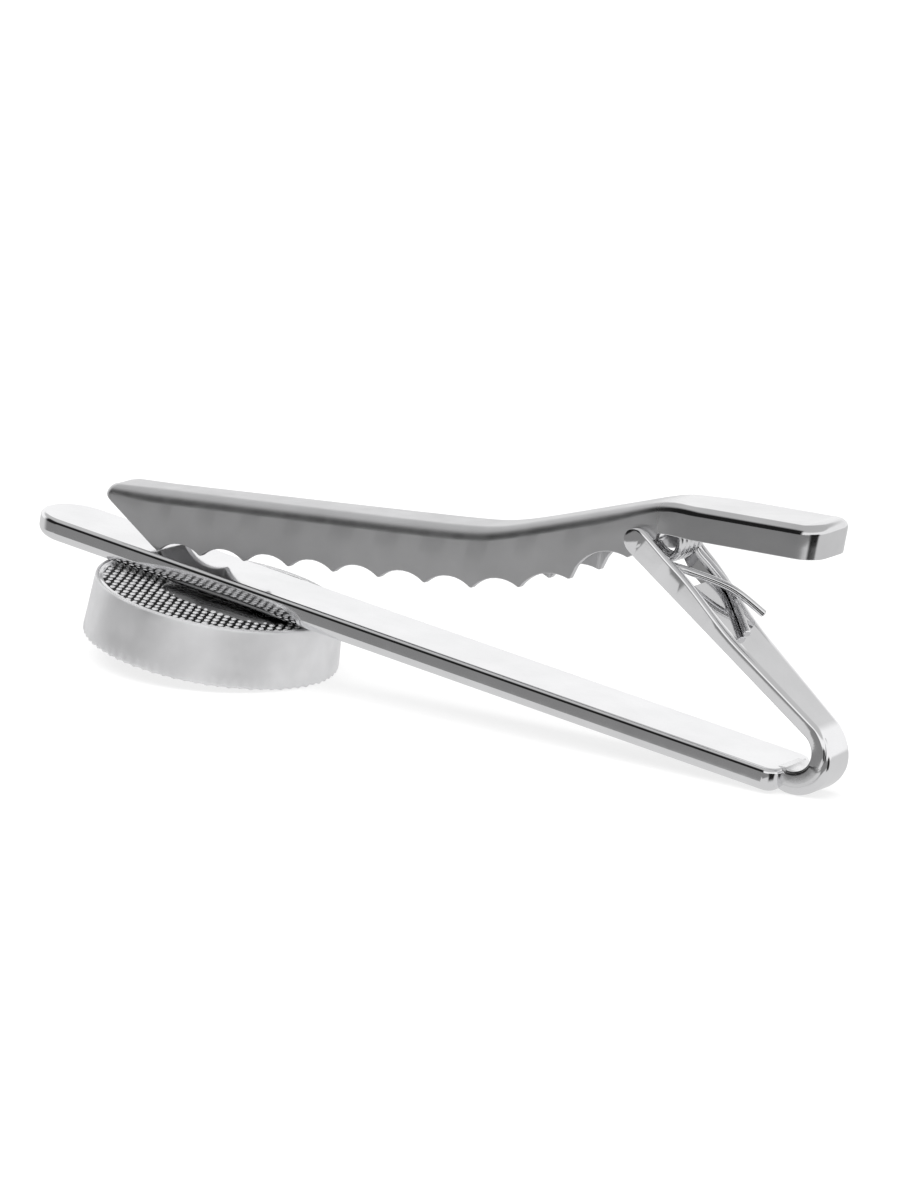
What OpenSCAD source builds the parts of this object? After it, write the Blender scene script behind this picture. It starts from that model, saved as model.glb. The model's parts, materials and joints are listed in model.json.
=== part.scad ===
// Spring tie clip with a round medallion, lying face down as it rests on a table.
// Millimetres. The clip is drawn with the back face of its bar at height 0 and
// then tipped by the rest angle, so that the medallion's edge and the bend of
// the bar both stand on the floor. +X runs from the tip to the bend, +Z is up.

/* [Bar] */
// distance from the bend's centre to the bar's round tip
bar_reach = 56; // [44:0.5:68]
// width of the bar
bar_w = 5; // [4.6:0.1:7]
// thickness of the bar
bar_t = 1.5; // [1.2:0.1:2.2]
// rounding of the bar's front edges
bar_round = 0.7; // [0.3:0.05:0.9]
// width of the tail that is bent up behind the hinge leg
tail_w = 2.4; // [1.8:0.1:3.2]

/* [Hinge leg] */
// slope of the leg against the bar, degrees
leg_a = 30.6; // [26:0.2:36]
// sheet thickness of the leg
leg_t = 0.95; // [0.7:0.05:1.2]
// inner radius of the leg's bend
bend_r = 1.25; // [0.9:0.05:1.8]
// distance from the bend's centre to the pivot, along the leg
leg_s = 15.5; // [13.8:0.1:18]
// width of the leg at its foot
leg_w0 = 2.8; // [2.4:0.1:3.6]
// thickness of each ear
ear_t = 0.55; // [0.45:0.05:0.8]

/* [Jaw] */
// width of the jaw at the hinge
jaw_w = 4.1; // [3.8:0.1:5]
// width of the jaw at its nose
jaw_nose_w = 3.4; // [3:0.1:4.4]
// width of the thumb pad
pad_w = 4.7; // [4.2:0.1:5.6]
// sheet thickness of the jaw
jaw_t = 0.45; // [0.35:0.05:0.6]
// length of the jaw ahead of the pivot
jaw_front = 38.6; // [30:0.2:44]
// length of the thumb pad behind the pivot
jaw_back = 11.8; // [9:0.2:15]
// depth of each scallop between two teeth
scallop = 0.58; // [0.3:0.02:0.8]

/* [Hinge pin and spring] */
// diameter of the hinge pin
pin_d = 0.8; // [0.6:0.05:1]
// radial clearance of the jaw on the pin
pin_gap = 0.05; // [0.02:0.01:0.1]
// wire diameter of the spring
wire_d = 0.5; // [0.4:0.05:0.6]
// outer diameter of the coil
coil_d = 3.4; // [3:0.1:3.6]

/* [Medallion] */
// distance from the bend's centre to the medallion's centre
med_x = 42.2; // [32:0.2:50]
// diameter of the medallion's front edge
med_d = 16.4; // [12:0.2:22]
// thickness of the medallion's ring
med_t = 3.8; // [2.4:0.1:6]
// how much larger in radius the front edge is than the back edge
med_flare = 0.25; // [0:0.05:0.6]
// wall of the ring
med_wall = 0.85; // [0.6:0.05:1.4]
// thickness of the back plate
back_t = 0.7; // [0.5:0.05:1.2]
// thickness of the front plate
face_t = 0.9; // [0.6:0.05:1.6]
// thickness of the solder between the bar and the medallion
solder_t = 0.12; // [0.08:0.02:0.3]
// depth of the worn flats where the ring and the tail stand on the floor
wear = 0.03; // [0.02:0.01:0.08]

/* [Hidden] */
$fn = 64;
e = 0.01;

// bend and tail
leg_r = bend_r + leg_t;                       // outer radius of the leg's bend
tail_r = bend_r + bar_t - 0.25;               // outer radius of the tail
tail_c = [0.1, bend_r - 0.25];                // centre of the tail's outer arc
bar_x0 = -bar_reach;                          // tip of the bar

// medallion heights, measured from the bar's back face
med_z1 = -bar_t - solder_t - 0.1;             // back edge of the ring
med_z0 = med_z1 - med_t;                      // front edge of the ring
med_r = med_d / 2;
rebate_r = med_r - med_flare - 0.2;           // seat of the back plate

// rest angle: a floor line that touches the ring's front edge and the tail's arc
floor_dx = tail_c[0] + med_x - med_r;
floor_dz = tail_c[1] - med_z0;
tilt = atan2(floor_dz, floor_dx) - asin(tail_r / norm([floor_dx, floor_dz]));

// ears and hinge, in the leg's own frame: s up the leg, d out of it
ear_r = 0.83;
ear_in = jaw_w / 2 + 0.06;                    // inner face of an ear
ear_out = ear_in + ear_t;
ear_rise = 0.58;                              // height of the ears above the leg's outer face
flange_s = leg_s - 8.9;                       // where the ears begin to rise
wide_s = leg_s - 5.9;                         // where the leg reaches its full width
notch_s = leg_s - 4.1;                        // lower end of the notch under the coil
pin_dn = bend_r + ear_r;                      // height of the pin above the bend's centre line
function leg_pt(s, d) = [-cos(leg_a) * s + sin(leg_a) * d, bend_r + sin(leg_a) * s + cos(leg_a) * d];
pin_p = leg_pt(leg_s, pin_dn);
lug_r = 1.05;

// jaw: heights above the bar's back face, set from the pivot
nose_x = pin_p[0] - jaw_front;
pad_x = pin_p[0] + jaw_back;
tooth_x = nose_x + 4.6;                       // first tooth, the one that meets the bar
tooth_z = 0.05;
tooth_n = 9;                                  // scallops
tooth_p = (pin_p[0] - 4.35 - tooth_x) / tooth_n;
nose_h = 3.05;                                // top of the nose above the first tooth
hump_z = pin_p[1] + 2.78;                     // top of the thumb pad where it begins
pad_slope = 0.132;
rear_slope = 0.465;
front_slope = (hump_z - 5.38 - nose_h) / (pin_p[0] - 10.5 - nose_x);
function line_a(x) = tooth_z + nose_h + front_slope * (x - nose_x);
function line_b(x) = line_a(pin_p[0] - 10.5) + rear_slope * (x - pin_p[0] + 10.5);
function line_c(x) = hump_z + pad_slope * (x - pin_p[0] - 1);
function smax(a, b, k) = (a + b) / 2 + norm([(a - b) / 2, k]);
function smin(a, b, k) = (a + b) / 2 - norm([(a - b) / 2, k]);
function top_z(x) = smin(smax(line_a(x), line_b(x), 0.22), line_c(x), 0.15);
function top_slope(x) = (top_z(x + 0.05) - top_z(x - 0.05)) / 0.1;
function under_z(x) = top_z(x) - jaw_t * norm([1, top_slope(x)]);
// the line through the tips of the teeth
tooth_end_z = pin_p[1] - 3.75;
rise_x = tooth_x + 7.6 * tooth_p;
tooth_slope = (tooth_end_z - tooth_z - 2.2) / (rise_x - tooth_x);
function tooth_line(x) = smax(tooth_z + tooth_slope * (x - tooth_x),
    tooth_end_z + (tooth_end_z - tooth_z - tooth_slope * (rise_x - tooth_x))
        / (tooth_x + tooth_n * tooth_p - rise_x) * (x - tooth_x - tooth_n * tooth_p), 0.1) - 0.03;
function pad_low(x) = line_c(x) - 2.05;

// coil, resting against the pin from behind
coil_r = (coil_d - wire_d) / 2;
coil_off = coil_d / 2 - wire_d - pin_d / 2 - 0.02;
coil_c = [pin_p[0] + 0.93 * coil_off, pin_p[1] + 0.37 * coil_off];
coil_w = jaw_w / 2 - jaw_t - wire_d / 2 - 0.04;
coil_turns = 4.75;
notch_w = 2 * coil_w + wire_d + 0.08;         // notch in the leg under the coil

// world frame: the box's bottom centre is the origin
function tip_w(x, z) = [x * cos(tilt) + z * sin(tilt), -x * sin(tilt) + z * cos(tilt)];
floor_z = tip_w(-med_x + med_r, med_z0)[1];
x_low = tip_w(bar_x0, -bar_t + bar_round)[0];
x_high = max(tip_w(pad_x, top_z(pad_x))[0], tip_w(tail_c[0], tail_c[1])[0] + tail_r);
shift = [-(x_low + x_high) / 2, 0, -floor_z - wear];

module world() { translate(shift) rotate([0, tilt, 0]) children(); }
module worn() {
    difference() {
        world() children();
        translate([-100, -100, -10]) cube([200, 200, 10]);
    }
}
module leg_frame() { translate([0, 0, bend_r]) rotate([0, leg_a, 0]) children(); }
module side(w) { rotate([90, 0, 0]) linear_extrude(height = w, center = true) children(); }

// ---------------------------------------------------------------- front bar
module bar_plan(inset) {
    r = bar_w / 2;
    translate([bar_x0 + r, 0]) circle(r = r - inset);
    translate([bar_x0 + r, -r + inset]) square([bar_reach - r - 1.2, bar_w - 2 * inset]);
    translate([-1.3, -r + 0.9]) square([1, bar_w - 1.8]);
    for (m = [-1, 1]) translate([-1.2, m * (r - 0.9)]) circle(r = 0.9 - inset);
}

module front_bar() {
    color([0.83, 0.83, 0.84]) worn() union() {
        translate([0, 0, -bar_t + bar_round]) linear_extrude(height = bar_t - bar_round) bar_plan(0);
        hull() {
            translate([0, 0, -bar_t + bar_round]) linear_extrude(height = e) bar_plan(0);
            translate([0, 0, -bar_t + bar_round * 0.3]) linear_extrude(height = e) bar_plan(bar_round * 0.3);
        }
        hull() {
            translate([0, 0, -bar_t + bar_round * 0.3]) linear_extrude(height = e) bar_plan(bar_round * 0.3);
            translate([0, 0, -bar_t]) linear_extrude(height = e) bar_plan(bar_round);
        }
        side(tail_w) difference() {
            union() {
                translate([-2, -bar_t]) square([2.1, bar_t]);
                translate(tail_c) circle(r = tail_r);
            }
            translate([-10, 0]) square([10, 10]);
            intersection() {
                translate([0, bend_r]) circle(r = leg_r);
                translate([-5, 0]) square([10, 10]);
            }
            translate([0, bend_r]) rotate(34) translate([0, 0]) square([10, 10]);
            translate([-10, bend_r + 1]) square([12, 10]);
            translate([-10, -5]) square([10 - 2.01, 10]);
        }
    }
}

// ---------------------------------------------------------------- hinge leg
function leg_half(s) = min(ear_out, leg_w0 / 2 + (ear_out - leg_w0 / 2) * s / wide_s);

module leg_plan(inset) {
    polygon([[0, leg_half(0) - inset], [-wide_s, ear_out - inset], [-leg_s - 2, ear_out - inset],
             [-leg_s - 2, -ear_out + inset], [-wide_s, -ear_out + inset], [0, -leg_half(0) + inset]]);
}

module leg_side() {
    top = bend_r + leg_t;
    translate([-leg_s, bend_r + ear_r]) circle(r = ear_r);
    polygon([[0, bend_r], [0, top], [-flange_s, top], [-leg_s + 4.5, top + ear_rise * 0.8],
             [-leg_s + 2.9, top + ear_rise], [-leg_s + 0.9, bend_r + 2 * ear_r + 0.02],
             [-leg_s, bend_r + 2 * ear_r], [-leg_s, bend_r]]);
}

module hinge_leg() {
    color([0.80, 0.80, 0.82]) world() {
        leg_frame() difference() {
            intersection() {
                side(2 * ear_out + 1) leg_side();
                linear_extrude(height = 10) leg_plan(0);
            }
            // channel between the ears
            translate([0, 0, bend_r + leg_t]) linear_extrude(height = 5) leg_plan(ear_t);
            // notch that clears the coil, and the open end between the ears
            translate([-leg_s - 5, -notch_w / 2, 0]) cube([leg_s + 5 - notch_s, notch_w, 6]);
            translate([-leg_s - 5, -ear_in, 0]) cube([5 + 1.75, 2 * ear_in, 6]);
            // holes for the pin
            translate([-leg_s, 0, pin_dn]) rotate([90, 0, 0]) cylinder(d = pin_d, h = 12, center = true);
        }
        // curved foot inside the tail
        side(leg_w0) difference() {
            translate([0, bend_r]) circle(r = leg_r);
            translate([0, bend_r]) circle(r = bend_r);
            translate([-10, -5]) square([10, 20]);
            translate([0, bend_r]) rotate(90 - leg_a) square([10, 10]);
            translate([0, bend_r]) rotate(-90 - 24) square([10, 10]);
        }
    }
}

module foot_braze() {
    color([0.74, 0.74, 0.74]) world() side(tail_w) intersection() {
        difference() {
            translate([0, bend_r]) circle(r = leg_r);
            translate([0, bend_r]) circle(r = bend_r);
            translate([-10, -5]) square([10, 20]);
        }
        translate([0, bend_r]) rotate(-90 - 24) square([10, 10]);
        square([5, 5]);
    }
}

// ---------------------------------------------------------------- jaw
function arc(c, r, a0, a1, n) = [for (i = [0 : n]) c + r * [cos(a0 + (a1 - a0) * i / n), sin(a0 + (a1 - a0) * i / n)]];

module jaw_plan(inset, open) {
    r = 1.4 - inset;
    hw = pad_w / 2;
    x1 = pin_p[0] + 1.7;
    nw = jaw_nose_w / 2 - inset;
    polygon(concat(
        [[nose_x - open, -nw + (open > 0 ? 0 : 0.5)], [nose_x + 0.6 - open, -nw], [nose_x + 22, -jaw_w / 2 + inset],
         [x1, -jaw_w / 2 + inset], [x1 + 1.8, -hw + inset]],
        arc([pad_x - 1.4, -hw + 1.4], r, -90, 0, 8), arc([pad_x - 1.4, hw - 1.4], r, 0, 90, 8),
        [[x1 + 1.8, hw - inset], [x1, jaw_w / 2 - inset],
         [nose_x + 22, jaw_w / 2 - inset], [nose_x + 0.6 - open, nw], [nose_x - open, nw - (open > 0 ? 0 : 0.5)]]));
}

function xs(n) = [for (i = [0 : n]) nose_x + (pad_x - nose_x) * i / n];

module jaw_side() {
    tx = tooth_x + tooth_n * tooth_p;
    difference() {
        polygon(concat(
            [for (x = xs(46)) [x, top_z(x)]],
            [[pad_x, pad_low(pad_x)], [pin_p[0] + 0.7, pad_low(pin_p[0] + 0.7)]],
            arc(pin_p, lug_r, 36, -110, 12), [[tx + 2.2, tooth_end_z]],
            [for (i = [tooth_n : -1 : 0]) [tooth_x + i * tooth_p, tooth_line(tooth_x + i * tooth_p)]],
            [[nose_x, top_z(nose_x) - 0.65]]));
        for (i = [0 : tooth_n - 1]) {
            a = [tooth_x + i * tooth_p, tooth_line(tooth_x + i * tooth_p)];
            b = [tooth_x + (i + 1) * tooth_p, tooth_line(tooth_x + (i + 1) * tooth_p)];
            c = norm(b - a) - 0.16;
            r = (c * c / 4 + scallop * scallop) / (2 * scallop);
            m = (a + b) / 2;
            n = [b[1] - a[1], a[0] - b[0]] / norm(b - a);
            translate(m + n * (r - scallop)) circle(r = r, $fn = 96);
        }
        translate([pin_p[0] - 1.33, pin_p[1] - 4.25]) circle(r = 3, $fn = 96);
    }
}

module clip_jaw() {
    color([0.78, 0.79, 0.80]) world() difference() {
        intersection() {
            side(8) jaw_side();
            linear_extrude(height = 40) jaw_plan(0, 0);
        }
        intersection() {
            side(8) polygon(concat(
                [[nose_x - 2, under_z(nose_x) - front_slope * 2]],
                [for (x = xs(46)) [x, under_z(x)]], [[pad_x + 1, -5], [nose_x - 2, -5]]));
            translate([0, 0, -6]) linear_extrude(height = 40) jaw_plan(jaw_t, 3);
        }
        translate([pin_p[0], 0, pin_p[1]]) rotate([90, 0, 0])
            cylinder(d = pin_d + 2 * pin_gap, h = 12, center = true);
    }
}

// ---------------------------------------------------------------- hinge pin
module hinge_pin() {
    color([0.70, 0.70, 0.72]) world() translate([pin_p[0], 0, pin_p[1]]) rotate([90, 0, 0]) union() {
        cylinder(d = pin_d, h = 2 * ear_out, center = true);
        for (m = [-1, 1]) translate([0, 0, m * (ear_out + 0.06)])
            cylinder(r1 = pin_d / 2 - (m > 0 ? 0 : 0.14), r2 = pin_d / 2 - (m > 0 ? 0.14 : 0),
                     h = 0.12, center = true);
    }
}

// ---------------------------------------------------------------- spring
function lp(s, y, d) = [leg_pt(s, d)[0], y, leg_pt(s, d)[1]];
rest_d = bend_r + leg_t + wire_d / 2 + 0.03;  // wire lying on the leg's outer face
coil_pts = [for (i = [0 : 95]) let (a = -90 - 360 * coil_turns * i / 95)
    [coil_c[0] + coil_r * cos(a), -coil_w + 2 * coil_w * i / 95, coil_c[1] + coil_r * sin(a)]];
c0 = coil_pts[0];
c1 = coil_pts[95];
wrap = leg_s - 15.5;
leg_a_ctrl = [lp(7.9 + wrap, 2.2, rest_d + 0.3), lp(10.1 + wrap, 0.75, rest_d + wire_d + 0.06),
              lp(12.2 + wrap, -0.95, rest_d + 0.12), [c0[0] + 1.5, -coil_w + 0.02, c0[2] + 0.03]];
leg_b_ctrl = [[c1[0] + 0.02, coil_w + 0.02, c1[2] - 0.75], lp(11.9 + wrap, coil_w + 0.2, rest_d + 0.12),
              lp(10.1 + wrap, coil_w + 0.14, rest_d), lp(7.1 + wrap, -0.5, rest_d)];
// smooth curve through the control points
function cat(p0, p1, p2, p3, t) = 0.5 * (2 * p1 + (p2 - p0) * t + (2 * p0 - 5 * p1 + 4 * p2 - p3) * t * t
    + (3 * p1 - p0 - 3 * p2 + p3) * t * t * t);
function spline(p, n) = [for (i = [0 : len(p) - 2]) for (k = [0 : n - 1])
    cat(p[max(i - 1, 0)], p[i], p[i + 1], p[min(i + 2, len(p) - 1)], k / n)];
wire_path = concat(spline(concat(leg_a_ctrl, [c0, coil_pts[2]]), 5),
                   [for (i = [3 : 92]) coil_pts[i]],
                   spline(concat([coil_pts[93], c1], leg_b_ctrl), 5), [leg_b_ctrl[3]]);

function unit(v) = v / norm(v);
function tangent(p, i) = unit(p[min(i + 1, len(p) - 1)] - p[max(i - 1, 0)]);
// carry one frame along the path, so the tube doesn't twist
function frames(p, i, u) = i >= len(p) ? [] :
    let (t = tangent(p, i), v = unit(u - t * (u * t))) concat([[v, cross(t, v)]], frames(p, i + 1, v));

module tube(p, r, n) {
    f = frames(p, 0, [0.3, 0.9, 0.2]);
    pts = [for (i = [0 : len(p) - 1]) for (k = [0 : n - 1])
        p[i] + r * (cos(360 * k / n) * f[i][0] + sin(360 * k / n) * f[i][1])];
    last = (len(p) - 1) * n;
    polyhedron(pts, concat([[for (k = [0 : n - 1]) k]],
        [for (i = [0 : len(p) - 2]) for (k = [0 : n - 1]) each [
            [i * n + k, (i + 1) * n + k, (i + 1) * n + (k + 1) % n],
            [i * n + k, (i + 1) * n + (k + 1) % n, i * n + (k + 1) % n]]],
        [[for (k = [n - 1 : -1 : 0]) last + k]]));
}

module torsion_spring() { color([0.60, 0.60, 0.62]) world() tube(wire_path, wire_d / 2, 8); }

// ---------------------------------------------------------------- medallion
module disc_solder() {
    color([0.66, 0.66, 0.67]) world() translate([-med_x, 0, -bar_t - solder_t])
        intersection() {
            cylinder(r = 3.6, h = solder_t);
            cube([8, bar_w + 0.6, 4], center = true);
        }
}

module medallion_back() {
    color([0.55, 0.55, 0.57]) world() translate([-med_x, 0, med_z1 + 0.1 - back_t])
        cylinder(r = rebate_r - 0.02, h = back_t, $fn = 128);
}

module medallion_ring() {
    color([0.82, 0.82, 0.83]) worn() translate([-med_x, 0, med_z0]) difference() {
        cylinder(r1 = med_r, r2 = med_r - med_flare, h = med_t, $fn = 128);
        translate([0, 0, -e]) cylinder(r = med_r - med_flare - med_wall, h = med_t + 1, $fn = 128);
        translate([0, 0, med_t + 0.1 - back_t]) cylinder(r = rebate_r, h = 2, $fn = 128);
        translate([0, 0, -e]) cylinder(r = rebate_r, h = face_t + 0.15 + e, $fn = 128);
    }
}

module medallion_face() {
    color([0.85, 0.85, 0.86]) world() translate([-med_x, 0, med_z0 + 0.15])
        cylinder(r = rebate_r - 0.02, h = face_t, $fn = 128);
}

front_bar();
hinge_leg();
foot_braze();
clip_jaw();
hinge_pin();
torsion_spring();
disc_solder();
medallion_back();
medallion_ring();
medallion_face();
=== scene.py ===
# A spring tie clip with a round medallion, lying face down on a pale floor.
# Shapes are drawn in millimetres in the clip's own frame: the back face of the
# bar is at height 0, the bend's centre line is at x = 0 and the tip at -x. CLIP
# then tips a finished mesh by the rest angle and brings it to metres.
import json
from math import atan2, cos, hypot, pi, radians, sin, sqrt

import bmesh
import bpy
from mathutils import Matrix, Vector, noise


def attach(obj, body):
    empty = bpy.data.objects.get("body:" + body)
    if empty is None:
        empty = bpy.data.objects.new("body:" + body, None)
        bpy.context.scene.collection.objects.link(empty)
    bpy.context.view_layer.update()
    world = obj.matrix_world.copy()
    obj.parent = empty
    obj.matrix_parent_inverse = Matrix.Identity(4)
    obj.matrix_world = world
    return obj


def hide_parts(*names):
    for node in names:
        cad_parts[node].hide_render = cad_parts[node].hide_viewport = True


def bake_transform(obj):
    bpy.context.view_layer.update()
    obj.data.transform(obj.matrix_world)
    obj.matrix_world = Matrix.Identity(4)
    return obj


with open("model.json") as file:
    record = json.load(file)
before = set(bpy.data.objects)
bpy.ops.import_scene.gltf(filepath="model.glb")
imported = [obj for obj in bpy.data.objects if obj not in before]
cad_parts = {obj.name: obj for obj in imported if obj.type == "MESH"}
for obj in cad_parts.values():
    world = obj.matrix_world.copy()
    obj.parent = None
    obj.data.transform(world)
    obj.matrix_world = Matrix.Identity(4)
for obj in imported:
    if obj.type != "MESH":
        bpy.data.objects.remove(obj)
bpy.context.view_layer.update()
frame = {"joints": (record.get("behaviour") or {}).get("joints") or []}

MM = 0.001
REST_ANGLE = radians(6.695)

# front bar
BAR_REACH = 56.0
BAR_W = 5.0
BAR_T = 1.5
BACK_EDGE = 0.3
FRONT_EDGE = 0.62
SHOULDER_R = 0.9
SHOULDER_X = -0.3
TAIL_W = 2.4
TAIL_R = 2.5
TAIL_C = (0.1, 1.0)
TAIL_FROM, TAIL_TO = -104, 36

# hinge leg
LEG_A = radians(30.6)
LEG_T = 0.95
BEND_R = 1.25
LEG_S = 15.5
LEG_W0 = 2.8
WIDE_S = 15.5
EAR_T = 0.55
EAR_R = 0.83
FLANGE_S = 6.6
FOOT_TURN = radians(98)
BRAZE_FROM, BRAZE_TO = -106, -8

# jaw
JAW_W = 4.1
NOSE_W = 3.4
PAD_W = 4.7
JAW_T = 0.45
JAW_FRONT = 38.6
JAW_BACK = 11.8
SCALLOPS = 9
SCALLOP = 0.58
LUG_R = 1.05
PAD_H = 2.05
CORNER_R = 1.4
NOSE_R = 0.6
NOSE_CORNER = 0.5
NOSE_FOLD, BODY_FOLD, PAD_FOLD = 0.62, 0.90, 0.54

# pin and spring
PIN_D = 0.8
WIRE_D = 0.5
COIL_D = 3.4
COIL_TURNS = 4.75

# medallion
MED_X = 42.2
MED_R = 8.2
MED_T = 3.8
MED_FLARE = 0.25
MED_WALL = 0.85
BACK_T = 0.7
FACE_T = 0.9
SOLDER_T = 0.12
BEAD_PITCH = 0.52
BEAD_ROW = 0.62
BEAD_SIZE = (0.18, 0.22, 0.09)

EAR_IN = JAW_W / 2 + 0.06
EAR_OUT = EAR_IN + EAR_T
COIL_R = (COIL_D - WIRE_D) / 2
MED_Z1 = -BAR_T - SOLDER_T - 0.1
MED_Z0 = MED_Z1 - MED_T
REBATE_R = MED_R - MED_FLARE - 0.2
KNURLS = 72


def leg_point(s, d):
    """The point s up the leg from the bend and d out from its bend's centre, as x and z."""
    return (-cos(LEG_A) * s + sin(LEG_A) * d, BEND_R + sin(LEG_A) * s + cos(LEG_A) * d)


PIN_X, PIN_Z = leg_point(LEG_S, BEND_R + EAR_R)
TIP = Matrix.Rotation(REST_ANGLE, 4, "Y") @ Matrix.Scale(MM, 4)
PIN = Vector(frame["joints"][0]["pos_m"])
CLIP = Matrix.Translation(PIN - TIP @ Vector((PIN_X, 0, PIN_Z))) @ TIP


# ---------------------------------------------------------------- materials
def nodes_of(material):
    material.use_nodes = True
    tree = material.node_tree
    tree.nodes.clear()
    return tree


def add(tree, kind, **values):
    """A node with the given properties, and with inputs set by name."""
    made = tree.nodes.new(kind)
    for key, value in values.pop("sockets", {}).items():
        made.inputs[key].default_value = value
    for key, value in values.items():
        setattr(made, key, value)
    return made


def grain(tree, scale, detail=3.0, stretch=(1, 1, 1)):
    """Noise on the object's own coordinates, scale in lumps per millimetre."""
    place = add(tree, "ShaderNodeTexCoord")
    turn = add(tree, "ShaderNodeMapping", sockets={"Scale": [k / MM for k in stretch]})
    turn.inputs["Rotation"].default_value = (0, -REST_ANGLE, 0)
    lumps = add(tree, "ShaderNodeTexNoise", sockets={"Scale": scale, "Detail": detail})
    tree.links.new(place.outputs["Object"], turn.inputs["Vector"])
    tree.links.new(turn.outputs["Vector"], lumps.inputs["Vector"])
    return lumps.outputs["Fac"]


def spread(tree, source, low, high, start=0.3, end=0.7):
    """The source from start to end, brought to low and high."""
    limits = {"From Min": start, "From Max": end, "To Min": low, "To Max": high}
    made = add(tree, "ShaderNodeMapRange", sockets=limits)
    tree.links.new(source, made.inputs["Value"])
    return made.outputs["Result"]


def shade(tree, source, dark, light):
    made = add(tree, "ShaderNodeMix", data_type="RGBA")
    made.inputs[6].default_value = (*dark, 1)
    made.inputs[7].default_value = (*light, 1)
    tree.links.new(source, made.inputs[0])
    return made.outputs[2]


def plated(name, dark, light, rough, pitting, streak=(1, 1, 1), metal=1.0):
    """Bright plated metal: cloudy in tone and gloss, with fine pits."""
    material = bpy.data.materials.new(name)
    tree = nodes_of(material)
    plate = add(tree, "ShaderNodeBsdfPrincipled", sockets={"Metallic": metal})
    out = add(tree, "ShaderNodeOutputMaterial")
    tree.links.new(plate.outputs[0], out.inputs[0])
    cloud = grain(tree, 0.35, 4.0, streak)
    tree.links.new(shade(tree, spread(tree, cloud, 0, 1), dark, light), plate.inputs["Base Color"])
    haze = grain(tree, 1.3, 5.0, streak)
    tree.links.new(spread(tree, haze, rough[0], rough[1]), plate.inputs["Roughness"])
    bump = add(tree, "ShaderNodeBump", sockets={"Strength": 1.0, "Distance": pitting * MM})
    tree.links.new(grain(tree, 7.0, 4.0, streak), bump.inputs["Height"])
    tree.links.new(bump.outputs["Normal"], plate.inputs["Normal"])
    return material


def polish_past(material, start, end, rough):
    """Rubs the plate smoother past a place along the clip, as the thumb does."""
    tree = material.node_tree
    plate = next(n for n in tree.nodes if n.type == "BSDF_PRINCIPLED")
    haze = plate.inputs["Roughness"].links[0].from_socket
    place = add(tree, "ShaderNodeTexCoord")
    split = add(tree, "ShaderNodeSeparateXYZ")
    tree.links.new(place.outputs["Object"], split.inputs[0])
    rubbed = add(tree, "ShaderNodeMix", data_type="FLOAT")
    tree.links.new(spread(tree, split.outputs["X"], 0, 1, start, end), rubbed.inputs[0])
    tree.links.new(haze, rubbed.inputs[2])
    rubbed.inputs[3].default_value = rough
    tree.links.new(rubbed.outputs[0], plate.inputs["Roughness"])


def grey(level):
    return (level, level, level * 1.012)


POLISHED = plated("polished_plate", grey(0.80), grey(0.86), (0.06, 0.10), 0.0006)
BRAZE = plated("braze_plate", grey(0.72), grey(0.84), (0.16, 0.30), 0.002)
SATIN = plated("satin_plate", grey(0.78), grey(0.90), (0.42, 0.52), 0.002, metal=0.75)
JAW_PLATE = plated("jaw_plate", grey(0.68), grey(0.76), (0.36, 0.42), 0.0005)
polish_past(JAW_PLATE, PIN.x, PIN.x + 2.5 * MM, 0.12)
BEADED = plated("beaded_plate", grey(0.84), grey(0.95), (0.06, 0.14), 0.001, metal=0.6)
# Near-black plate for the flat floor between the beads: painted shade in the hollows between them.
HOLLOW_SHADE = plated("beaded_hollow_painted_shade", grey(0.02), grey(0.08), (0.3, 0.5), 0.006)
SPRING = plated("spring_steel", grey(0.74), grey(0.84), (0.10, 0.18), 0.0008)
# Dark grey solder: a real solder run whose dark tone is painted shade under the bar.
SOLDER_AND_SHADE = plated("solder", grey(0.14), grey(0.34), (0.16, 0.34), 0.006, streak=(0.3, 2.0, 1))


# ---------------------------------------------------------------- mesh helpers
def finish_piece(name, bm, material, body, replaced=(), crease=32, weighted=True, open_skin=False):
    """The finished mesh in the shared frame, riding on its body."""
    bm.transform(CLIP)
    if not open_skin:
        bmesh.ops.recalc_face_normals(bm, faces=bm.faces)
    for face in bm.faces:
        face.smooth = True
    for edge in bm.edges:
        if len(edge.link_faces) == 2 and edge.calc_face_angle(0) > radians(crease):
            edge.smooth = False
    mesh = bpy.data.meshes.new(name)
    bm.to_mesh(mesh)
    bm.free()
    mesh.materials.append(material)
    piece = bpy.data.objects.new(name, mesh)
    bpy.context.scene.collection.objects.link(piece)
    if weighted:
        piece.modifiers.new("even shading", "WEIGHTED_NORMAL").keep_sharp = True
    if body:
        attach(piece, body)
    if replaced:
        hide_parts(*replaced)
    return piece


def settle(piece, crease):
    """Makes the piece's modifiers part of its mesh and keeps edges past the crease sharp."""
    shape = piece.evaluated_get(bpy.context.evaluated_depsgraph_get())
    mesh = bpy.data.meshes.new_from_object(shape)
    piece.modifiers.clear()
    piece.data = mesh
    mesh.set_sharp_from_angle(angle=radians(crease))


def bevel(bm, geom, width, segments, affect="EDGES"):
    return bmesh.ops.bevel(bm, geom=geom, offset=width, offset_type="OFFSET", segments=segments,
                           profile=0.5, affect=affect, material=-1, clamp_overlap=False)


def draw_ring(bm, points):
    """A closed ring of edges through the points."""
    ring = [bm.verts.new(p) for p in points]
    edges = [bm.edges.new(pair) for pair in zip(ring, ring[1:] + ring[:1])]
    return ring, edges


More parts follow.
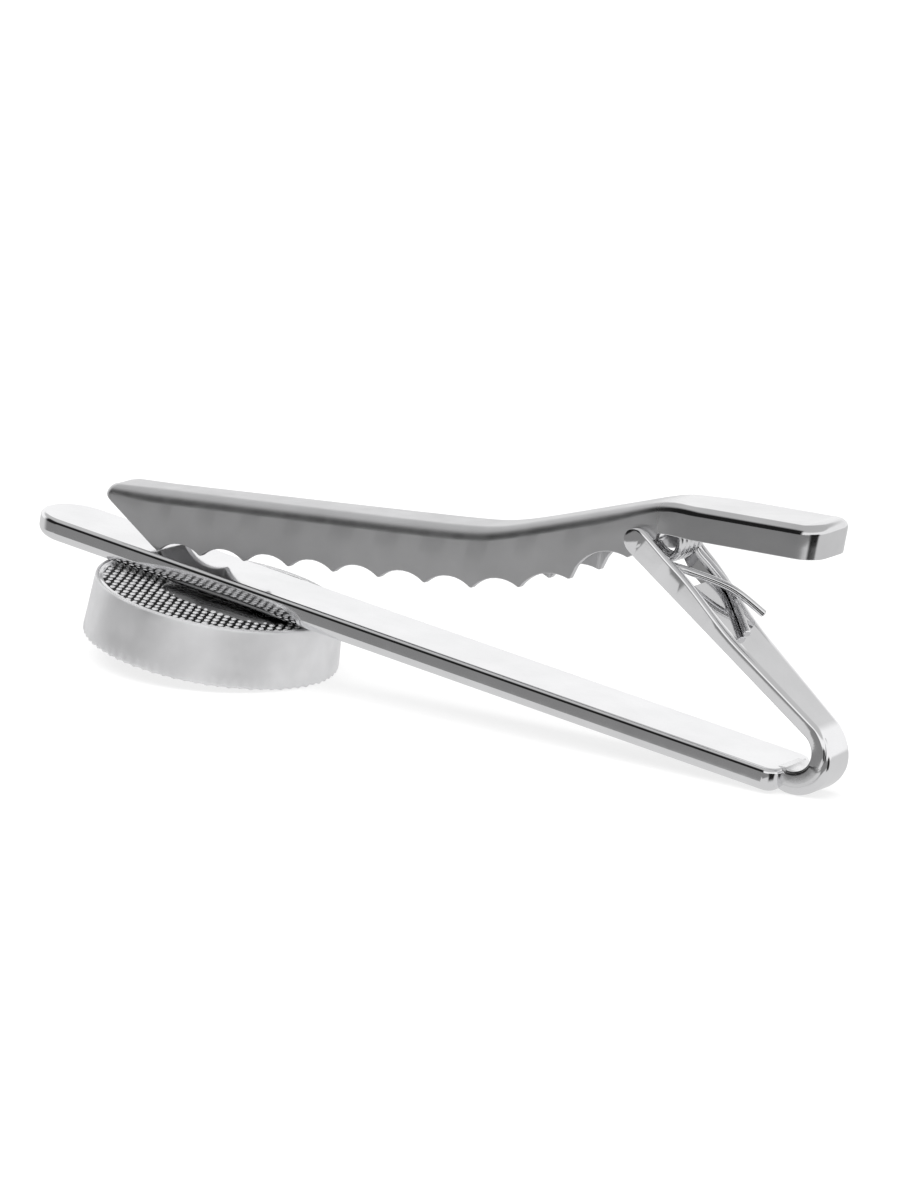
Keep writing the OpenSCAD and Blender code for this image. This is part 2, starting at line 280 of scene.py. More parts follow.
def extrude_ring(bm, ring, edges, points):
    """The ring extruded once, with its new vertices moved to the points."""
    new = bmesh.ops.extrude_edge_only(bm, edges=edges)["geom"]
    fresh = {v for v in new if isinstance(v, bmesh.types.BMVert)}
    moved = []
    for old, point in zip(ring, points):
        copy = next(e.other_vert(old) for e in old.link_edges if e.other_vert(old) in fresh)
        copy.co = point
        moved.append(copy)
    pairs = zip(moved, moved[1:] + moved[:1])
    return moved, [bm.edges.get(pair) for pair in pairs]


def loft(bm, rows):
    """A skin over rows of points, closed at both ends. Returns the first and the last ring."""
    first, edges = draw_ring(bm, rows[0])
    bm.faces.new(first)
    ring = first
    for points in rows[1:]:
        ring, edges = extrude_ring(bm, ring, edges, points)
    bm.faces.new(list(reversed(ring)))
    return first, ring


def arc(centre, r, start, end, count):
    """Points on a circle, angles in degrees, both ends counted."""
    turns = [radians(start + (end - start) * i / count) for i in range(count + 1)]
    return [(centre[0] + r * cos(t), centre[1] + r * sin(t)) for t in turns]


def ease(x, start, end):
    t = min(max((x - start) / (end - start), 0), 1)
    return t * t * (3 - 2 * t)


# ---------------------------------------------------------------- front bar
def bar_plate(bm):
    """The flat bar: round tip, rounded shoulder, small back edge and a broad front edge."""
    half = BAR_W / 2
    x0, x1 = -BAR_REACH, SHOULDER_X
    corners = [bm.verts.new(p) for p in ((x0, -half, 0), (x1, -half, 0), (x1, half, 0), (x0, half, 0))]
    bm.faces.new(corners)
    bevel(bm, [corners[1], corners[2]], SHOULDER_R, 10, "VERTICES")
    tip = [v for v in bm.verts if v.co.x < x0 + 0.1]
    bevel(bm, tip, half - 0.005, 28, "VERTICES")
    bmesh.ops.remove_doubles(bm, verts=bm.verts, dist=0.02)
    back = bm.faces[:]
    front = bmesh.ops.extrude_face_region(bm, geom=back)["geom"]
    bmesh.ops.translate(bm, verts=[v for v in front if isinstance(v, bmesh.types.BMVert)], vec=(0, 0, -BAR_T))
    bmesh.ops.recalc_face_normals(bm, faces=bm.faces)
    for height, width, segments in ((0, BACK_EDGE, 5), (-BAR_T, FRONT_EDGE, 8)):
        rim = [e for e in bm.edges if all(abs(v.co.z - height) < 1e-4 for v in e.verts)]
        bevel(bm, rim, width, segments)


def tail_thickness(angle):
    """How far the tail's outer arc stands off the leg's bend at an angle in radians."""
    ox, oz = TAIL_C[0], TAIL_C[1] - BEND_R
    along = ox * cos(angle) + oz * sin(angle)
    outer = along + sqrt(along * along + TAIL_R ** 2 - ox * ox - oz * oz)
    return outer - BEND_R - LEG_T


def tail_section(angle):
    """A rounded strip section lying on the back of the leg's bend, ending in a fine step."""
    fade = ease(angle, radians(-20), radians(36))
    inner = BEND_R + LEG_T - 0.1
    outer = BEND_R + LEG_T + tail_thickness(angle) * (1 - 0.55 * fade)
    half = TAIL_W / 2 + 0.16 * (1 - fade)
    r = min(0.36, 0.7 * (outer - inner))
    profile = [(half, inner)] + arc((half - r, outer - r), r, 0, 90, 7)
    profile += [(-y, d) for y, d in reversed(profile)]
    return [(d * cos(angle), y, BEND_R + d * sin(angle)) for y, d in profile]


def front_bar():
    bm = bmesh.new()
    bar_plate(bm)
    steps = 40
    rows = [tail_section(radians(TAIL_FROM + (TAIL_TO - TAIL_FROM) * i / steps)) for i in range(steps + 1)]
    rows.insert(0, [(-1.7, y, min(z, -0.3)) for x, y, z in rows[0]])
    loft(bm, rows)
    return finish_piece("front_bar_polished", bm, POLISHED, "frame", ["front_bar"])


# ---------------------------------------------------------------- hinge leg
def leg_half(s):
    return min(EAR_OUT, LEG_W0 / 2 + (EAR_OUT - LEG_W0 / 2) * max(s, 0) / WIDE_S)


def ear_height(s):
    """Height of the ear's edge above the leg's inner face."""
    lift = 0.58 * ease(s, FLANGE_S, 12.8) + 0.13 * ease(s, 12.8, LEG_S)
    return LEG_T + lift


NOTCH_Y = 1.6
NOTCH_S = 11.4
WEB_END_S = LEG_S - 1.75


def half_section(s):
    """Half of the leg's channel section as (y, d): inner face, side, ear edge, outer face of the web."""
    w = leg_half(s)
    top = ear_height(s)
    rise = top - LEG_T
    cut = min(NOTCH_Y, 0.7 * w)
    lip = 0.24
    points = [(cut, 0.0)] + arc((w - 0.1, 0.1), 0.1, -90, 0, 3)
    points += arc((w - lip, top - lip), lip, 0, 90, 7)
    back = max(w - EAR_T, cut + 0.05)
    turn = min(0.2, rise / 2)
    points += arc((back + turn, top - turn), turn, 90, 180, 4)
    fillet = min(0.22, rise / 2)
    points += arc((back - fillet, LEG_T + fillet), fillet, 0, -90, 4)
    points += [(cut, LEG_T)]
    return points


def leg_place(s, y, d):
    """A point of the leg's section at s; below 0 the leg curls round the bend."""
    if s >= 0:
        x, z = leg_point(s, BEND_R + d)
        return (x, y, z)
    turn = s / (BEND_R + LEG_T)
    angle = pi / 2 - LEG_A + turn
    r = BEND_R + d
    return (r * cos(angle), y, BEND_R + r * sin(angle))


def leg_row(s):
    right = half_section(s)
    whole = right + [(-y, d) for y, d in reversed(right)]
    return [leg_place(s, y, d) for y, d in whole]


def ear_row(s, side):
    """The section of one ear past the notch."""
    shrink = ease(s, NOTCH_S + 1.6, WEB_END_S)
    half = half_section(min(s, LEG_S))
    inner = NOTCH_Y + (EAR_IN - 0.02 - NOTCH_Y) * shrink
    if s > LEG_S:
        reach = sqrt(max(EAR_R ** 2 - (s - LEG_S) ** 2, 0))
        low, high = EAR_R - reach, EAR_R + reach
    else:
        low, high = 0.0, ear_height(s)
    top = ear_height(min(s, LEG_S))
    points = []
    for y, d in half:
        points.append((max(y, inner) * side, low + d * (high - low) / top))
    return [leg_place(s, y, d) for y, d in points]


def hinge_leg():
    bm = bmesh.new()
    foot = -(BEND_R + LEG_T) * (pi / 2 - LEG_A + FOOT_TURN)
    stations = [foot * (1 - i / 26) for i in range(26)]
    stations += [0.6 * i for i in range(int(NOTCH_S / 0.6))] + [NOTCH_S]
    ring, edges = draw_ring(bm, leg_row(stations[0]))
    bm.faces.new(ring)
    for s in stations[1:]:
        ring, edges = extrude_ring(bm, ring, edges, leg_row(s))
    count = len(ring) // 2
    bm.faces.new([ring[0], ring[-1], ring[count], ring[count - 1]])
    tips = [NOTCH_S + 0.4 * i for i in range(1, 11)]
    tips += [LEG_S + EAR_R * sin(radians(a)) for a in (10, 25, 40, 52, 63, 72, 80, 86)]
    for side, half in ((1, ring[:count]), (-1, list(reversed(ring[count:])))):
        part = half
        loop = [bm.edges.get(pair) or bm.edges.new(pair) for pair in zip(part, part[1:] + part[:1])]
        for s in tips:
            part, loop = extrude_ring(bm, part, loop, ear_row(s, side))
        bm.faces.new(part)
    return finish_piece("hinge_leg_polished", bm, POLISHED, "frame", ["hinge_leg"])


def foot_braze():
    """Braze that wraps the leg's foot and blends it into the tail."""
    bm = bmesh.new()
    rows = []
    for i in range(31):
        angle = radians(BRAZE_FROM + (BRAZE_TO - BRAZE_FROM) * i / 30)
        close = ease(angle, radians(-24), radians(-8))
        inner = BEND_R - 0.02 + 0.5 * close
        outer = BEND_R + LEG_T + 0.12
        half = LEG_W0 / 2 + 0.05 - 0.10 * close
        r = 0.30
        profile = arc((half - r, inner + r), r, -90, 0, 6) + arc((half - r, outer - r), r, 0, 90, 6)
        profile += [(-y, d) for y, d in reversed(profile)]
        rows.append([(d * cos(angle), y, BEND_R + d * sin(angle)) for y, d in profile])
    rows.insert(0, [(-0.9, y, min(z, -0.01)) for x, y, z in rows[0]])
    loft(bm, rows)
    return finish_piece("foot_braze_wrap", bm, BRAZE, "frame", ["foot_braze"])


# ---------------------------------------------------------------- jaw
NOSE_X = PIN_X - JAW_FRONT
PAD_X = PIN_X + JAW_BACK
TOOTH_X = NOSE_X + 4.6
TOOTH_Z = 0.05
TOOTH_P = (PIN_X - 4.35 - TOOTH_X) / SCALLOPS
NOSE_H = 3.05
HUMP_Z = PIN_Z + 2.78
WAIST_X = PIN_X - 10.5
FRONT_SLOPE = (HUMP_Z - 5.38 - NOSE_H) / (WAIST_X - NOSE_X)
TEETH_END_X = PIN_X - 4.35
TEETH_END_Z = PIN_Z - 3.75
RISE_X = TOOTH_X + 7.6 * TOOTH_P
TOOTH_SLOPE = (TEETH_END_Z - TOOTH_Z - 2.2) / (RISE_X - TOOTH_X)
WIDEN_X = PIN_X + 1.7
NOSE_TURN = 0.5
TAPER_L = 21.4


def smooth_max(a, b, k):
    return (a + b) / 2 + hypot((a - b) / 2, k)


def top_z(x):
    """Height of the jaw's top: front slope, rise to the hump, thumb pad."""
    front = TOOTH_Z + NOSE_H + FRONT_SLOPE * (x - NOSE_X)
    waist = TOOTH_Z + NOSE_H + FRONT_SLOPE * (WAIST_X - NOSE_X)
    rise = waist + 0.465 * (x - WAIST_X)
    return -smooth_max(-smooth_max(front, rise, 0.22), -pad_z(x), 0.15)


def pad_z(x):
    return HUMP_Z + 0.132 * (x - PIN_X - 1)


def tooth_line(x):
    """Height of the line through the tips of the teeth."""
    rise = TEETH_END_Z - TOOTH_Z - TOOTH_SLOPE * (RISE_X - TOOTH_X)
    steep = TEETH_END_Z + rise / (TEETH_END_X - RISE_X) * (x - TEETH_END_X)
    return smooth_max(TOOTH_Z + TOOTH_SLOPE * (x - TOOTH_X), steep, 0.1) - 0.03


def bite(x, i):
    """Height of scallop i's arc at x, or below everything outside it."""
    ax, bx = TOOTH_X + i * TOOTH_P, TOOTH_X + (i + 1) * TOOTH_P
    az, bz = tooth_line(ax), tooth_line(bx)
    span = hypot(bx - ax, bz - az)
    chord = span - 0.16
    r = (chord * chord / 4 + SCALLOP ** 2) / (2 * SCALLOP)
    cx = (ax + bx) / 2 + (bz - az) / span * (r - SCALLOP)
    cz = (az + bz) / 2 - (bx - ax) / span * (r - SCALLOP)
    return cz + sqrt(r * r - (x - cx) ** 2) if abs(x - cx) < r else -99


def bottom_z(x):
    """Height of the side wall's lower edge."""
    if x < TOOTH_X:
        start = top_z(NOSE_X) - 0.65
        return start + (tooth_line(TOOTH_X) - start) * (x - NOSE_X) / (TOOTH_X - NOSE_X)
    if x < TEETH_END_X:
        i = min(int((x - TOOTH_X) / TOOTH_P), SCALLOPS - 1)
        ax = TOOTH_X + i * TOOTH_P
        az, bz = tooth_line(ax), tooth_line(ax + TOOTH_P)
        return max(az + (bz - az) * (x - ax) / TOOTH_P, bite(x, i))
    arch = -99
    if abs(x - PIN_X + 1.33) < 3:
        arch = PIN_Z - 4.25 + sqrt(9 - (x - PIN_X + 1.33) ** 2)
    if x < PIN_X - 0.36:
        slope_x = PIN_X - 2.15
        strap = TEETH_END_Z + max(x - slope_x, 0) * 1.54
        return max(strap, arch)
    if x < PIN_X + 0.85:
        return PIN_Z - sqrt(LUG_R ** 2 - (x - PIN_X) ** 2)
    return pad_z(x) - PAD_H


def jaw_half(x):
    """Half width of the jaw over its outline, nose corner and thumb pad's corner counted."""
    nose = NOSE_W / 2
    if x < NOSE_X + NOSE_R:
        rounding = sqrt(max(1 - (1 - (x - NOSE_X) / NOSE_R) ** 2, 0))
        return nose - NOSE_CORNER + NOSE_CORNER * rounding
    if x > PAD_X - CORNER_R:
        return PAD_W / 2 - CORNER_R + sqrt(max(CORNER_R ** 2 - (x - PAD_X + CORNER_R) ** 2, 0))
    body = nose + (JAW_W / 2 - nose) * min((x - NOSE_X - NOSE_R) / TAPER_L, 1)
    return body + (PAD_W - JAW_W) / 2 * ease(x, WIDEN_X, WIDEN_X + 2.0)


def jaw_stations():
    """Stations along the jaw, close together in the arcs."""
    xs = [NOSE_X + NOSE_R * (1 - cos(radians(a))) for a in (0, 18, 36, 54, 72)]
    xs += [NOSE_X + NOSE_R + 0.4 * i for i in range(10)]
    for i in range(SCALLOPS):
        middle = TOOTH_X + (i + 0.5) * TOOTH_P
        reach = TOOTH_P / 2 - 0.05
        xs += [middle - reach * cos(radians(a)) for a in range(0, 181, 15)]
    xs += [TEETH_END_X + 0.06 + 0.24 * i for i in range(17)]
    xs += [PIN_X - 0.2 + 0.14 * i for i in range(8)]
    xs += [PIN_X + 1.05 + 0.5 * i for i in range(int((JAW_BACK - CORNER_R - 1.05) / 0.5) + 1)]
    xs += [PAD_X - CORNER_R + CORNER_R * sin(radians(a)) for a in range(0, 91, 9)]
    kept = [xs[0]]
    for x in sorted(xs):
        if x - kept[-1] > 0.03:
            kept.append(x)
    kept[-1] = PAD_X
    return kept


def bend_radius(x):
    """Radius of the fold between the web and the side walls, tighter along the thumb pad."""
    swell = (BODY_FOLD - NOSE_FOLD) * ease(x, NOSE_X, NOSE_X + 4)
    return NOSE_FOLD + swell - (BODY_FOLD - PAD_FOLD) * ease(x, PIN_X - 3, PIN_X + 2)


def jaw_row(x, step=0.004):
    """The outer skin's section at x from the lower edge of one wall to that of the other."""
    slope = (jaw_half(min(x + step, PAD_X)) - jaw_half(max(x - step, NOSE_X))) / (2 * step)
    if x < NOSE_X + NOSE_R:
        slope = min(slope, NOSE_TURN)
    if x >= PAD_X - 1e-6:
        inward = (-1.0, 0.0)
    else:
        length = hypot(slope, 1)
        inward = (slope / length, -1 / length)
    y = jaw_half(x)
    r = bend_radius(x)
    top, low = top_z(x), bottom_z(x)
    fold = top - r
    rows = [(0.0, low), (0.0, low + (fold - low) * 0.5), (0.0, fold)]
    rows += [(r * (1 - cos(radians(a))), top - r * (1 - sin(radians(a)))) for a in range(10, 91, 10)]
    half = [(x + d * inward[0], y + d * inward[1], z) for d, z in rows]
    return half + [(px, -py, pz) for px, py, pz in reversed(half)]


def clip_jaw():
    """The jaw's skin: a grid laid over its sections and closed at the rear, then given its thickness."""
    bm = bmesh.new()
    rows = [jaw_row(x) for x in jaw_stations()]
    ring = [bm.verts.new(p) for p in rows[0]]
    edges = [bm.edges.new(pair) for pair in zip(ring, ring[1:])]
    for points in rows[1:]:
        new = bmesh.ops.extrude_edge_only(bm, edges=edges)["geom"]
        fresh = {v for v in new if isinstance(v, bmesh.types.BMVert)}
        moved = []
        for old, point in zip(ring, points):
            copy = next(e.other_vert(old) for e in old.link_edges if e.other_vert(old) in fresh)
            copy.co = point
            moved.append(copy)
        ring = moved
        edges = [bm.edges.get(pair) for pair in zip(ring, ring[1:])]
    half = len(ring) // 2
    for i in range(half - 1):
        bm.faces.new((ring[i], ring[i + 1], ring[-i - 2], ring[-i - 1]))
    bmesh.ops.recalc_face_normals(bm, faces=bm.faces)
    if max(bm.faces, key=lambda face: face.calc_center_median().z).normal.z < 0:
        bmesh.ops.reverse_faces(bm, faces=bm.faces)
    piece = finish_piece("clip_jaw_sheet", bm, JAW_PLATE, "jaw", ["clip_jaw"],
                         crease=40, weighted=False, open_skin=True)
    sheet = piece.modifiers.new("sheet", "SOLIDIFY")
    sheet.thickness = JAW_T * MM
    sheet.offset = -1
    sheet.use_even_offset = True
    rim = piece.modifiers.new("rim", "BEVEL")
    rim.width = 0.05 * MM
    rim.segments = 2
    rim.limit_method = "ANGLE"
    rim.angle_limit = radians(50)
    rim.use_clamp_overlap = False
    rim.harden_normals = True
    settle(piece, 20)
    piece.modifiers.new("even shading", "WEIGHTED_NORMAL").keep_sharp = True
    return piece


# ---------------------------------------------------------------- hinge pin and spring
def hinge_pin():
    bm = bmesh.new()
    length = 2 * EAR_OUT - 0.04
    bmesh.ops.create_cone(bm, cap_ends=True, segments=40, radius1=PIN_D / 2, radius2=PIN_D / 2, depth=length,
                          matrix=Matrix.Translation((PIN_X, 0, PIN_Z)) @ Matrix.Rotation(pi / 2, 4, "X"))
    rims = [e for e in bm.edges if len({round(v.co.y, 3) for v in e.verts}) == 1]
    bevel(bm, rims, 0.05, 3)
    return finish_piece("hinge_pin_ground", bm, POLISHED, "frame", ["hinge_pin"])


def wire_path():
    """The wire's centre line: one leg, the coil, the other leg."""
    off = COIL_D / 2 - WIRE_D - PIN_D / 2 - 0.02
    cx, cz = PIN_X + 0.93 * off, PIN_Z + 0.37 * off
    reach = JAW_W / 2 - JAW_T - WIRE_D / 2 - 0.04
    rest = BEND_R + LEG_T + WIRE_D / 2 + 0.03
    count = 150
    coil = []
    for i in range(count + 1):
        turn = radians(-90) - 2 * pi * COIL_TURNS * i / count
        y = -reach + 2 * reach * i / count
        coil.append(Vector((cx + COIL_R * cos(turn), y, cz + COIL_R * sin(turn))))

    def on_leg(s, y, d):
        x, z = leg_point(s, d)
        return Vector((x, y, z))

    low, high = coil[0], coil[-1]
    upper = [on_leg(7.9, 2.2, rest + 0.3), on_leg(10.1, 0.75, rest + WIRE_D + 0.06),
             on_leg(12.2, -0.95, rest + 0.12),
             Vector((low.x + 1.5, -reach + 0.02, low.z + 0.03)), low, coil[3]]
    lower = [coil[-4], high, Vector((high.x + 0.02, reach + 0.04, high.z - 0.75)),
             on_leg(11.9, reach + 0.3, rest + 0.12), on_leg(10.1, reach + 0.14, rest),
             on_leg(7.1, -0.5, rest)]
    return smooth_line(upper, 8)[:-1] + coil[3:-4] + smooth_line(lower, 8)


def smooth_line(points, steps):
    """A smooth curve through the points."""
    line = []
    last = len(points) - 1
    for i in range(last):
        a, b, c, d = (points[min(max(k, 0), last)] for k in (i - 1, i, i + 1, i + 2))
        for k in range(steps):
            t = k / steps
            line.append(0.5 * (2 * b + (c - a) * t + (2 * a - 5 * b + 4 * c - d) * t ** 2
                               + (3 * b - a - 3 * c + d) * t ** 3))
    return line + [points[-1]]


def tube_rows(path, r, sides):
    """Rings along a path, carried so that the tube doesn't twist."""
    side = Vector((0.3, 0.9, 0.2))
    rows = []
    for i, point in enumerate(path):
        ahead = (path[min(i + 1, len(path) - 1)] - path[max(i - 1, 0)]).normalized()
        side = (side - ahead * side.dot(ahead)).normalized()
        across = ahead.cross(side)
        turns = [2 * pi * k / sides for k in range(sides)]
        rows.append([point + r * (cos(a) * side + sin(a) * across) for a in turns])
    return rows


def torsion_spring():
    bm = bmesh.new()
    path = wire_path()
    rows = tube_rows(path, WIRE_D / 2, 16)
    ends = ((rows[0], path[0] - path[1], 0), (rows[-1], path[-1] - path[-2], len(rows) + 1))
    for end, beyond, order in ends:
        middle = sum(end, Vector()) / len(end)
        chamfer = [middle + (p - middle) * 0.8 + beyond.normalized() * 0.05 for p in end]
        rows.insert(order, chamfer)
    loft(bm, rows)
    piece = finish_piece("torsion_spring_wire", bm, SPRING, None, ["torsion_spring"])
    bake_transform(piece)
    return piece


# ---------------------------------------------------------------- medallion
def lathe(bm, profile, steps):
    """A profile of (radius, height) spun once round the medallion's axis."""
    points = [bm.verts.new((r - MED_X, 0, z)) for r, z in profile]
    edges = [bm.edges.new(pair) for pair in zip(points, points[1:] + points[:1])]
    bmesh.ops.spin(bm, geom=points + edges, cent=(-MED_X, 0, 0), axis=(0, 0, 1), angle=2 * pi, steps=steps,
                   use_merge=True, use_duplicate=False)
    bmesh.ops.remove_doubles(bm, verts=bm.verts, dist=0.0005)


def medallion_ring():
    """Satin ring, slightly flared, with a knurled front edge."""
    bm = bmesh.new()
    r1, r0 = MED_R - MED_FLARE, MED_R
    inside = r1 - MED_WALL
    seat = MED_Z1 + 0.1 - BACK_T
    profile = [(inside, MED_Z0 + FACE_T + 0.15), (inside, seat), (REBATE_R, seat),
               (REBATE_R, MED_Z1 - 0.05), (REBATE_R + 0.05, MED_Z1)]
    profile += [(r1 - 0.08, MED_Z1), (r1 - 0.02, MED_Z1 - 0.04), (r1, MED_Z1 - 0.12)]
    profile += [(r1 + MED_FLARE * k / 6, MED_Z1 - (MED_T - 0.3) * k / 6) for k in range(1, 7)]
    profile += [(r0, MED_Z0 + 0.16), (r0 - 0.04, MED_Z0 + 0.04), (r0 - 0.14, MED_Z0),
                (REBATE_R + 0.06, MED_Z0), (REBATE_R, MED_Z0 + 0.06),
                (REBATE_R, MED_Z0 + FACE_T + 0.15)]
    lathe(bm, profile, 288)
    for v in bm.verts:
        reach = hypot(v.co.x + MED_X, v.co.y)
        low = ease(v.co.z, MED_Z0 + 0.34, MED_Z0 + 0.08)
        if reach > REBATE_R + 0.1 and low > 0:
            angle = atan2(v.co.y, v.co.x + MED_X)
            knurl = 0.5 + 0.5 * cos(KNURLS * angle)
            wear = noise.noise(Vector((3.1 * cos(angle), 3.1 * sin(angle), 0)) * 3)
            v.co.z += low * (0.10 * knurl + 0.05 * (0.5 + wear))
            pull = 1 - low * 0.05 * knurl / reach
            v.co.x = -MED_X + (v.co.x + MED_X) * pull
            v.co.y *= pull
    return finish_piece("medallion_ring_satin", bm, SATIN, "frame",
                        ["medallion_ring"], crease=50)


def bead_places():
    """Centres of the beads, in rows that run along the bar, inside the rim."""
    reach = REBATE_R - 0.3
    rows = int(reach / BEAD_ROW) + 1
    for j in range(-rows, rows + 1):
        y = j * BEAD_ROW
        count = int(reach / BEAD_PITCH) + 1
        for i in range(-count, count + 1):
            x = (i + 0.5 * (j % 2)) * BEAD_PITCH
            if hypot(x, y) < reach:
                yield j, x, y


def medallion_back():
    """The back plate: a disc under a close pattern of polished beads, its floor between them painted dark as
    shade.
    """
    bm = bmesh.new()
    floor_z = MED_Z1 - 0.16
    low = MED_Z1 + 0.1 - BACK_T
    profile = [(0.001, low), (0.001, floor_z), (REBATE_R - 0.32, floor_z), (REBATE_R - 0.24, MED_Z1 - 0.02),
               (REBATE_R - 0.06, MED_Z1 - 0.02), (REBATE_R - 0.02, MED_Z1 - 0.06), (REBATE_R - 0.02, low)]
    lathe(bm, profile, 128)
    rows = {}
    for j, x, y in bead_places():
        rows.setdefault(j, []).append((x, y))
    for places in rows.values():
        row = bmesh.new()
        for x, y in places:
            swell = 1 + 0.3 * noise.noise(Vector((x * 2.3, y * 2.3, 0)))
            wide, long, high = (k * swell for k in BEAD_SIZE)
            size = Matrix.Diagonal((wide, long, high, 1))
            bmesh.ops.create_uvsphere(row, u_segments=8, v_segments=6, radius=1,
                                      matrix=Matrix.Translation((x - MED_X, y, floor_z)) @ size)
        strip = bpy.data.meshes.new("row of beads")
        row.to_mesh(strip)
        row.free()
        bm.from_mesh(strip)
        bpy.data.meshes.remove(strip)
    # The flat floor between the beads takes the near-black second material: painted shade in the hollows.
    for face in bm.faces:
        centre = face.calc_center_median()
        flat = abs(centre.z - floor_z) < 0.002 and face.normal.z > 0.5
        face.material_index = 1 if flat else 0
    piece = finish_piece("medallion_back_beaded", bm, BEADED, "frame",
                         ["medallion_back"], crease=60, weighted=False)
    piece.data.materials.append(HOLLOW_SHADE)
    return piece


def disc_solder():
    """Solder that has run out from under the bar over the beads, coloured dark grey as painted shade under
    the bar.
    """
    bm = bmesh.new()
    rings = []
    for share, height in ((0.02, 0.10), (0.5, 0.10), (0.8, 0.06), (0.95, 0.0), (1.0, -0.14)):
        row = []
        for i in range(96):
            angle = 2 * pi * i / 96
            ragged = 1 + 0.16 * noise.noise(Vector((2 * cos(angle), 2 * sin(angle), 5)))
            rx, ry = (5.2, 3.9) if sin(angle) < 0 else (4.4, 3.0)
            x = 1.6 + rx * share * ragged * cos(angle)
            y = ry * share * ragged * sin(angle)
            bump = 0.03 * noise.noise(Vector((x, y * 4, 0)))
            row.append((x - MED_X, y, MED_Z1 - 0.02 + height + bump * (share < 1)))
        rings.append(row)
    rings = [[(x, y, MED_Z1 - 0.3) for x, y, z in rings[-1]]] + list(reversed(rings))
    loft(bm, rings)
    return finish_piece("disc_solder_run_painted_shade", bm, SOLDER_AND_SHADE, "frame", ["disc_solder"])


def medallion_face():
    """Plain front plate with a softly raised rim and field."""
    bm = bmesh.new()
    low = MED_Z0 + 0.15
    high = low + FACE_T
    out = REBATE_R - 0.02
    profile = [(0.001, high), (0.001, low + 0.02), (out - 1.6, low + 0.10), (out - 1.2, low + 0.22),
               (out - 1.0, low + 0.22), (out - 0.8, low + 0.04), (out - 0.5, low), (out - 0.1, low),
               (out, low + 0.08), (out, high)]
    lathe(bm, profile, 160)
    return finish_piece("medallion_face_plain", bm, POLISHED, "frame",
                        ["medallion_face"], crease=30)


# ---------------------------------------------------------------- studio
def floor():
    bm = bmesh.new()
    bmesh.ops.create_circle(bm, cap_ends=True, segments=96, radius=4)
    mesh = bpy.data.meshes.new("floor")
    bm.to_mesh(mesh)
    bm.free()
    material = bpy.data.materials.new("floor_paint")
    tree = nodes_of(material)
    finish = {"Base Color": (0.38, 0.38, 0.38, 1), "Roughness": 0.9, "Specular IOR Level": 0.0,
              "Emission Color": (1, 1, 1, 1), "Emission Strength": 0.68}
    paint = add(tree, "ShaderNodeBsdfPrincipled", sockets=finish)
    out = add(tree, "ShaderNodeOutputMaterial")
    tree.links.new(paint.outputs[0], out.inputs[0])
    mesh.materials.append(material)
    made = bpy.data.objects.new("floor", mesh)
    bpy.context.scene.collection.objects.link(made)
    made.visible_glossy = False


def world_math(tree, operation, a, b=None, c=None):
    made = add(tree, "ShaderNodeMath", operation=operation)
    for socket, value in zip(made.inputs, (a, b, c)):
        if value is None:
            continue
        if isinstance(value, (int, float)):
            socket.default_value = value
        else:
            tree.links.new(value, socket)
    return made.outputs[0]


def band(tree, source, start, end):
    """0 below start, 1 above end, smooth between."""
    made = add(tree, "ShaderNodeMapRange", interpolation_type="SMOOTHSTEP",
               sockets={"From Min": start, "From Max": end, "To Min": 0.0, "To Max": 1.0})
    tree.links.new(source, made.inputs["Value"])
    return made.outputs["Result"]


TENT, ROOF, NEAR_TABLE, FAR_TABLE, GAP = 1.05, 0.58, 0.72, 0.25, 0.015


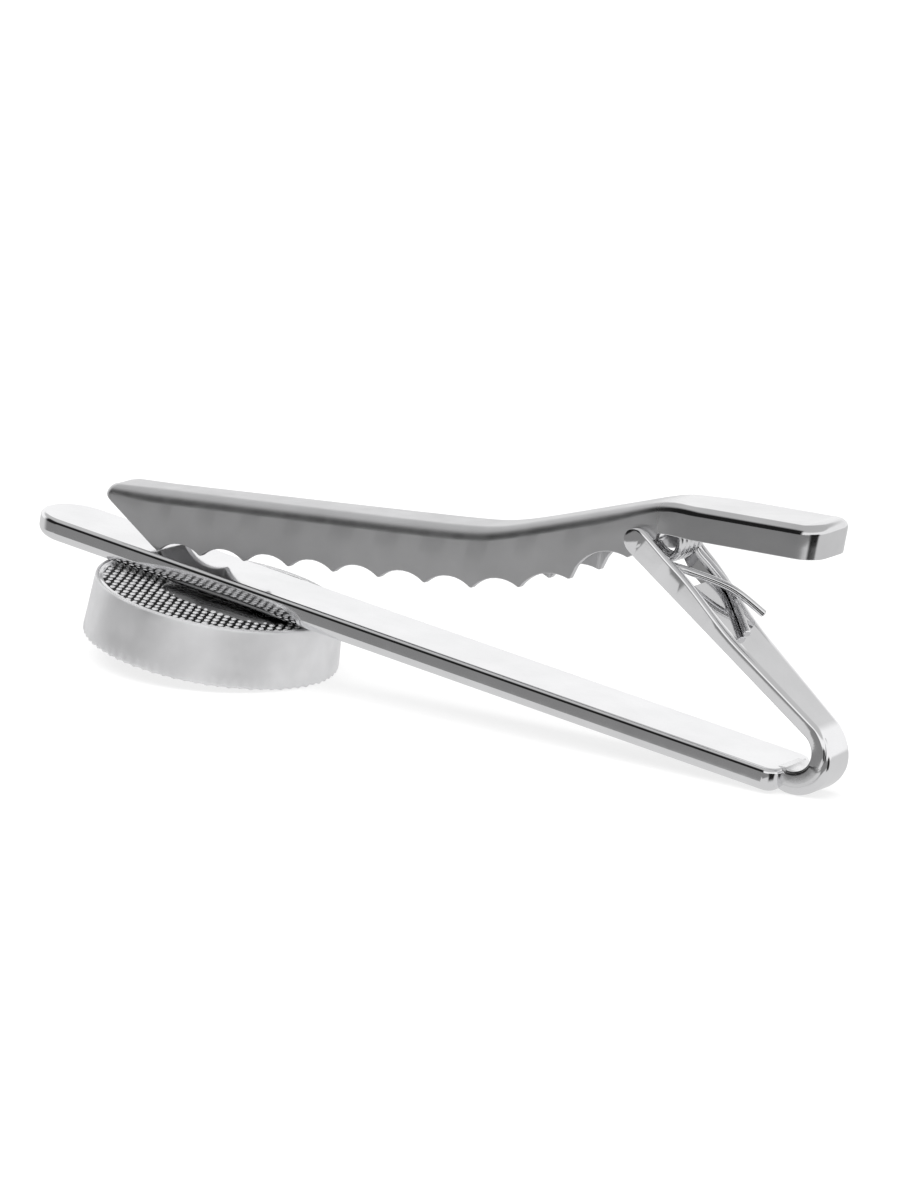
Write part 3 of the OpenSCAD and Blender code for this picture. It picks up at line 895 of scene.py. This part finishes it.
def studio_world():
    """A white tent over a pale table, grey towards the front, with a dark gap and a dark screen.

    Each band lies along one component of the direction looked in, a unit vector.
    """
    world = bpy.data.worlds.new("studio")
    bpy.context.scene.world = world
    world.use_nodes = True
    tree = world.node_tree
    tree.nodes.clear()
    place = add(tree, "ShaderNodeTexCoord")
    split = add(tree, "ShaderNodeSeparateXYZ")
    tree.links.new(place.outputs["Generated"], split.inputs[0])
    x, y, z = split.outputs["X"], split.outputs["Y"], split.outputs["Z"]

    def product(a, b):
        return world_math(tree, "MULTIPLY", a, b)

    def fill(under, over, share):
        """under, with over laid on it by share."""
        return world_math(tree, "ADD", under, product(share, world_math(tree, "SUBTRACT", over, under)))

    def rest_of(share):
        return world_math(tree, "SUBTRACT", 1.0, share)

    front = rest_of(band(tree, y, -0.35, 0.05))
    tent = fill(TENT, ROOF, band(tree, z, 0.38, 0.56))
    table = fill(NEAR_TABLE, FAR_TABLE, product(front, band(tree, z, -0.30, -0.272)))
    gap = product(product(front, band(tree, z, -0.10, -0.04)), rest_of(band(tree, z, 0.55, 0.80)))
    gap = product(gap, rest_of(band(tree, x, -0.25, 0.0)))
    right = product(band(tree, x, 0.45, 0.65), rest_of(band(tree, y, -0.30, -0.10)))
    screen = product(right, product(band(tree, z, -0.45, -0.35), rest_of(band(tree, z, 0.0, 0.1))))
    level = fill(fill(table, tent, band(tree, z, -0.08, 0.0)), GAP, gap)
    level = fill(level, GAP, screen)
    back = add(tree, "ShaderNodeBackground")
    out = add(tree, "ShaderNodeOutputWorld")
    tree.links.new(level, back.inputs["Color"])
    tree.links.new(back.outputs[0], out.inputs[0])


def lamp(name, place, size, power):
    light = bpy.data.lights.new(name, "AREA")
    light.shape = "DISK"
    light.size = size
    light.energy = power
    made = bpy.data.objects.new(name, light)
    made.location = place
    made.rotation_euler = (-Vector(place)).to_track_quat("-Z", "Y").to_euler()
    made.visible_glossy = False
    bpy.context.scene.collection.objects.link(made)


def camera():
    """A long lens from the front left, a little above the clip and slightly rolled."""
    azimuth, elevation, roll = radians(30.96), radians(13.10), radians(3.98)
    target = Vector((1.108, 0.409, 7.059)) * MM
    distance = 0.3708
    turn = (Matrix.Rotation(azimuth, 4, "Z") @ Matrix.Rotation(pi / 2 - elevation, 4, "X")
            @ Matrix.Rotation(roll, 4, "Z"))
    lens = bpy.data.cameras.new("camera")
    lens.lens = 180
    lens.sensor_width = 36
    lens.clip_start = 0.01
    made = bpy.data.objects.new("camera", lens)
    made.matrix_world = Matrix.Translation(target) @ turn @ Matrix.Translation((0, 0, distance))
    bpy.context.scene.collection.objects.link(made)
    bpy.context.scene.camera = made


camera()
floor()
studio_world()
lamp("overhead", (-0.15, -0.25, 0.9), 1.6, 12)
bpy.context.scene.view_settings.view_transform = "Standard"

front_bar()
hinge_leg()
foot_braze()
clip_jaw()
hinge_pin()
torsion_spring()
medallion_ring()
medallion_back()
disc_solder()
medallion_face()
